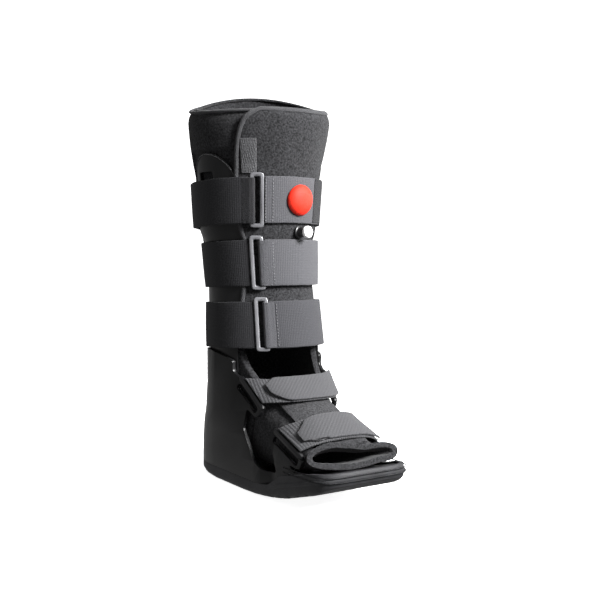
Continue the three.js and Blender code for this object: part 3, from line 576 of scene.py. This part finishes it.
def swell(x, middle, width, height):
    return height * math.exp(-(((x - middle) / width) ** 2))


for vertex in foot_pad.data.vertices:
    x, y, z = vertex.co / MM
    mouth = min(1, max(0, (MOUTH_START_Y - y) / MOUTH_RUN)) ** 1.5
    lip = UPPER_LIP if z > MOUTH_MIDDLE_Z else LOWER_LIP
    vertex.co.z += sum(swell(x, *each) for each in lip) * mouth * MM

instep_pad = padded_piece(
    "foot_flap", "instep_pad", foot_knit, "liner_foam", bevel=1.2, levels=2, height=0.6, size=18, seed=9
)

# Air pump's bulb, smooth and not uneven

padded_piece(
    "pump_bulb", "bulb_dome", bulb_rubber, "pump_rubber", bevel=0.8, levels=2, height=0, size=10, seed=0
)

# Painted highlight round each strut's top: a lighter nylon welt along its edge

STRUT_TOP_Y = 5
STRUT_TOP_Z = 331.5
STRUT_EDGE_RADIUS = 31.6
BESIDE = 0.2  # metres, well outside the boot
STRUT_OUT = 0.06  # metres, where the strut's face is taken to be if nothing is met


def side_of(piece, hand, y, z):
    """The piece's outer surface on one side, at a place in the side view."""
    hit, place, _, _ = piece.ray_cast(Vector((hand * BESIDE, y * MM, z * MM)), Vector((-hand, 0, 0)))
    return place if hit else Vector((hand * STRUT_OUT, y * MM, z * MM))


for side, hand in (("left", -1), ("right", 1)):
    strut = bpy.data.objects[f"strut_{side}"]

    def arch(share, strut=strut, hand=hand):
        turn = math.radians(180 * there_and_back(share))
        y = STRUT_TOP_Y - STRUT_EDGE_RADIUS * math.cos(turn)
        z = STRUT_TOP_Z + STRUT_EDGE_RADIUS * math.sin(turn)
        return side_of(strut, hand, y, z), Vector((hand, 0, 0))

    piping(f"strut_rim_{side}", arch, 0.55, painted_highlight_nylon)

# Ridge lines round the toe bumper

BUMPER_HALF = 57.6
BUMPER_START_Y = -125
BUMPER_REACH = 66.4
BUMPER_TOP_Z = 46
BUMPER_POWER = 1 / 3  # squares the toe's round


def toe_ridge(drop):
    """The bumper's ridge line round the toe, at a depth below its top, from one side to the other."""

    def place(share):
        angle = math.radians(90 - 180 * there_and_back(share))
        x = BUMPER_HALF * math.copysign(abs(math.sin(angle)) ** BUMPER_POWER, angle)
        y = BUMPER_START_Y - BUMPER_REACH * abs(math.cos(angle)) ** BUMPER_POWER
        return Vector((x, y, BUMPER_TOP_Z - drop)) * MM, Vector((0, -1, 0))

    return place


piping("bumper_ridge_top", toe_ridge(3.2), 0.7, sole_rubber)
piping("bumper_ridge_low", toe_ridge(8), 0.7, sole_rubber)

# Leg straps: a long web and a short sewn end each, one of them loop faced

LEG_STRAP_FEEL = {"bevel": 0.7, "levels": 1, "height": 0.35, "size": 20}
for strap in STRAPS:
    number = strap["number"]
    # The lowest strap takes the darker copy of the loop faced web, which is painted shade
    light_cloth = strap_loop_painted_shade if number == 3 else strap_loop
    long_cloth, short_cloth = (strap_dark, light_cloth) if strap["hand"] < 0 else (light_cloth, strap_dark)
    long_piece = padded_piece(
        f"leg_strap_{number}", f"strap_{number}", long_cloth, "strap_web",
        seed=number, **LEG_STRAP_FEEL,
    )
    short_piece = padded_piece(
        f"leg_chafe_{number}", f"strap_end_{number}", short_cloth, "strap_web",
        seed=number + 4, **LEG_STRAP_FEEL,
    )
    wrap_lines(long_piece)
    wrap_lines(short_piece)

# Foot straps and their folded tabs

ABOVE = 0.3  # metres, well over the foot
TAB_FIXED_X = 8
TAB_STRETCH = 1.4
ACROSS = Vector((1, 0, 0))
DOWN_FOOT = Vector((0, -0.79, -0.61))


def height_on(piece, x, y):
    """The height of the piece's top over a place, or None beside it."""
    hit, place, _, _ = piece.ray_cast(Vector((x * MM, y * MM, ABOVE)), Vector((0, 0, -1)))
    return place.z / MM if hit else None


def lengthen_tab(tab, base):
    """Draws the toe tab's free end out towards the left ear, along the strap that it lies on."""
    for vertex in tab.data.vertices:
        x, y, z = vertex.co / MM
        if x < TAB_FIXED_X:
            further = TAB_FIXED_X + (x - TAB_FIXED_X) * TAB_STRETCH
            now, then = height_on(base, x, y), height_on(base, further, y)
            if now is not None and then is not None:
                vertex.co = Vector((further, y, z - now + then)) * MM


for number in (1, 2):
    base = padded_piece(
        f"foot_strap_{number}", f"base_strap_{number}", base_web, "strap_web",
        bevel=0.6, levels=1, height=0.25, size=14, seed=number,
    )
    tab = padded_piece(
        f"foot_tab_{number}", f"tab_{number}", tab_web, "tab_web",
        bevel=0.7, levels=1, height=0.25, size=14, seed=number + 2,
    )
    if number == 2:
        lengthen_tab(tab, base)
    lay_lines(base, ACROSS, DOWN_FOOT)
    lay_lines(tab, ACROSS, DOWN_FOOT)

# Binding tape over the flap's edge

EDGE_UP = 0.7  # share of the tape's length that goes up the flap, before the rest goes along the rim
EDGE_ALONG = 0.3
EDGE_RIM_TURN = 78
EDGE_STEP = 0.004
EDGE_WIDTH = 4.6
EDGE_OVERHANG = 0.25
EDGE_BULGE = 1.4


def flap_edge(share):
    """Up the flap's left edge, round its corner and along the rim, as an angle and a height."""
    if share < EDGE_UP:
        z = FLAP_LOW_Z + (FLAP_CORNER_TOP_Z - FLAP_LOW_Z) * share / EDGE_UP
        return -flap_left(z), z
    angle = -FLAP_CORNER_TOP_ANGLE + EDGE_RIM_TURN * (share - EDGE_UP) / EDGE_ALONG
    return angle, rim_height(angle) + 0.5


def on_flap_edge(across, along):
    """A place on the tape, across which it bulges out over the edge."""
    angle, z = flap_edge(along)
    ahead, behind = flap_edge(min(1, along + EDGE_STEP)), flap_edge(max(0, along - EDGE_STEP))
    reach = leg_reach(min(z, LEG_TOP))
    run = Vector((math.radians(ahead[0] - behind[0]) * reach, ahead[1] - behind[1])).normalized()
    side = (across - EDGE_OVERHANG) * EDGE_WIDTH
    angle += math.degrees(run.y * side / reach)
    z -= run.x * side
    bulge = EDGE_BULGE * math.sin(math.pi * across)
    return on_leg(angle, z, between(FLAP_STAND, z) + 0.2 + bulge)


edge_tape = strip("flap_edge_tape", 6, 160, on_flap_edge, 1.2)
wrap_lines(finish(edge_tape, binding_web))
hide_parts("flap_binding")

# Strip of hook tape on the flap

HOOK_LEFT = -45.2
HOOK_TURN = 13
HOOK_LOW_Z = 341
HOOK_HEIGHT = 36.5
HOOK_STAND_HEIGHT = 36
HOOK_LIFT = 0.8


def on_hooks(across, along):
    stand = between(FLAP_STAND, HOOK_LOW_Z + HOOK_STAND_HEIGHT * along) + HOOK_LIFT
    return on_leg(HOOK_LEFT + HOOK_TURN * across, HOOK_LOW_Z + HOOK_HEIGHT * along, stand)


hooks = strip("hook_tape_strip", 12, 30, on_hooks, 1.2)
finish(hooks, hook_nylon)
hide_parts("hook_strip")

# Welts round the rim, on its outer and its inner shoulder


def rim_line(drop, out):
    """The line round the rim at a depth below its top and a distance out from the leg."""

    def place(share):
        angle = share * 360
        return on_leg(angle, rim_height(angle) - drop, out), outwards(angle)

    return place


piping("rim_welt", rim_line(1.8, -0.6), 1.7, binding_web)
piping("rim_inner_welt", rim_line(0.4, -7.5), 1.9, liner_knit)

# Strap loops sewn round one bar of each ring: degrees from the slot's middle, and how far they stand out

LOOP_PROFILE = [(2.1, 2.8), (2.4, 5.9), (3.1, 7.3), (5.6, 7.4), (7.2, 7), (9.5, 6.4), (12.5, 5.8)]
LOOP_START = LOOP_PROFILE[0][0]
LOOP_TURN = 10.4
LOOP_WIDTH = 48.6

# Two rows of stitches hold each doubled web, further out on the straps whose doubled end goes right

STITCH_ANGLES = (-24.6, -18.4)
STITCHES_IN_ROW = 14
STITCH_PITCH = 3.3
STITCH_LENGTH = 2.4
STITCH_RADIUS = 0.42
STITCH_OUT_LEFT = 4.7
STITCH_OUT_RIGHT = 7.1


def stitch_places(strap):
    """Each stitch's place, its direction up the strap, and the direction out of the web."""
    out = STITCH_OUT_LEFT if strap["hand"] < 0 else STITCH_OUT_RIGHT
    rows = []
    for angle in STITCH_ANGLES:
        for k in range(STITCHES_IN_ROW):
            z = tilted(strap["z"] + (k - (STITCHES_IN_ROW - 1) / 2) * STITCH_PITCH, angle)
            point, above = on_leg(angle, z, out), on_leg(angle, z + 1, out)
            rows.append((point, (above - point).normalized(), outwards(angle)))
    return rows


for strap in STRAPS:

    def on_loop(across, along, strap=strap):
        away = LOOP_START + LOOP_TURN * across
        angle = strap["ring"] + strap["hand"] * away
        z = tilted(strap["z"] + LOOP_WIDTH * (along - 0.5), angle)
        return on_leg(angle, z, between(LOOP_PROFILE, away))

    loop = strip(f"strap_loop_{strap['number']}", 26, 14, on_loop, 1.8, 0.5)
    finish(loop, strap_dark if strap["hand"] < 0 else strap_loop)
    wrap_lines(loop)
    stitches(
        f"strap_stitches_{strap['number']}", stitch_places(strap), STITCH_LENGTH, STITCH_RADIUS,
        thread_nylon,
    )

# Dark patch on the top strap beside the bulb

PATCH_LEFT = 26.5
PATCH_TURN = 15
PATCH_LOW_Z = 287.5
PATCH_HEIGHT = 48
PATCH_Y = -40
PATCH_OUT = 4.5


def on_patch(across, along):
    z = PATCH_LOW_Z + PATCH_HEIGHT * along - STRAP_TILT * PATCH_Y
    return on_leg(PATCH_LEFT + PATCH_TURN * across, z, PATCH_OUT)


end_patch = strip("bulb_end_patch", 16, 12, on_patch, 0.6, 0.2)
wrap_lines(finish(end_patch, strap_dark))

# Camera, light and floor, in metres


def area_light(name, place, target, size, power):
    bpy.ops.object.light_add(type="AREA", location=place)
    light = bpy.context.object
    light.name = name
    light.data.size = size
    light.data.energy = power
    light.rotation_euler = (Vector(target) - Vector(place)).to_track_quat("-Z", "Y").to_euler()


area_light("key", (0.55, -1.55, 1.15), (0, 0, 0.2), 0.6, 150)
area_light("top", (0.5, -0.2, 1.6), (0, 0, 0.2), 0.8, 10)
area_light("right", (1.4, -0.3, 0.5), (0, 0, 0.25), 0.5, 14)
area_light("fill", (-1.4, -1.2, 0.5), (0, 0, 0.2), 1.0, 0.5)

world = bpy.data.worlds.new("studio")
bpy.context.scene.world = world
world.use_nodes = True
world.node_tree.nodes["Background"].inputs["Color"].default_value = linear("ffffff")
world.node_tree.nodes["Background"].inputs["Strength"].default_value = 0.36

# White paper that glows by itself, so that it stays pure white however little light falls on it

paper = bpy.data.materials.new("white studio paper")
paper.use_nodes = True
paper_shader = paper.node_tree.nodes["Principled BSDF"]
paper_shader.inputs["Base Color"].default_value = linear("ffffff")
paper_shader.inputs["Roughness"].default_value = 1
paper_shader.inputs["Emission Color"].default_value = linear("ffffff")
paper_shader.inputs["Emission Strength"].default_value = 0.9
lit_paper = paper.copy()
lit_paper.name = "white studio paper lit"
lit_paper.node_tree.nodes["Principled BSDF"].inputs["Emission Strength"].default_value = 1

bpy.ops.mesh.primitive_plane_add(size=12, location=(0, 0, 0))
floor = bpy.context.object
floor.name = "studio_floor"
floor.data.materials.append(paper)
bpy.ops.mesh.primitive_plane_add(size=12, location=(2.6, 4.2, 0))
wall = bpy.context.object
wall.name = "studio_wall"
wall.rotation_euler = (math.radians(90), 0, math.radians(-32))
wall.data.materials.append(lit_paper)

# The boot's own light comes from the lamps and the world, not from the paper's glow
for sheet in (floor, wall):
    sheet.visible_diffuse = False
    sheet.visible_glossy = False

bpy.ops.object.camera_add(
    location=(-0.5525, -0.8801, 0.2601), rotation=(math.radians(86.817), 0, math.radians(-32.12))
)
camera = bpy.context.object
camera.data.lens = 54.9
camera.data.sensor_width = 36
camera.data.shift_x = 0.0575
camera.data.clip_start = 0.01
bpy.context.scene.camera = camera
bpy.context.scene.view_settings.view_transform = "Standard"
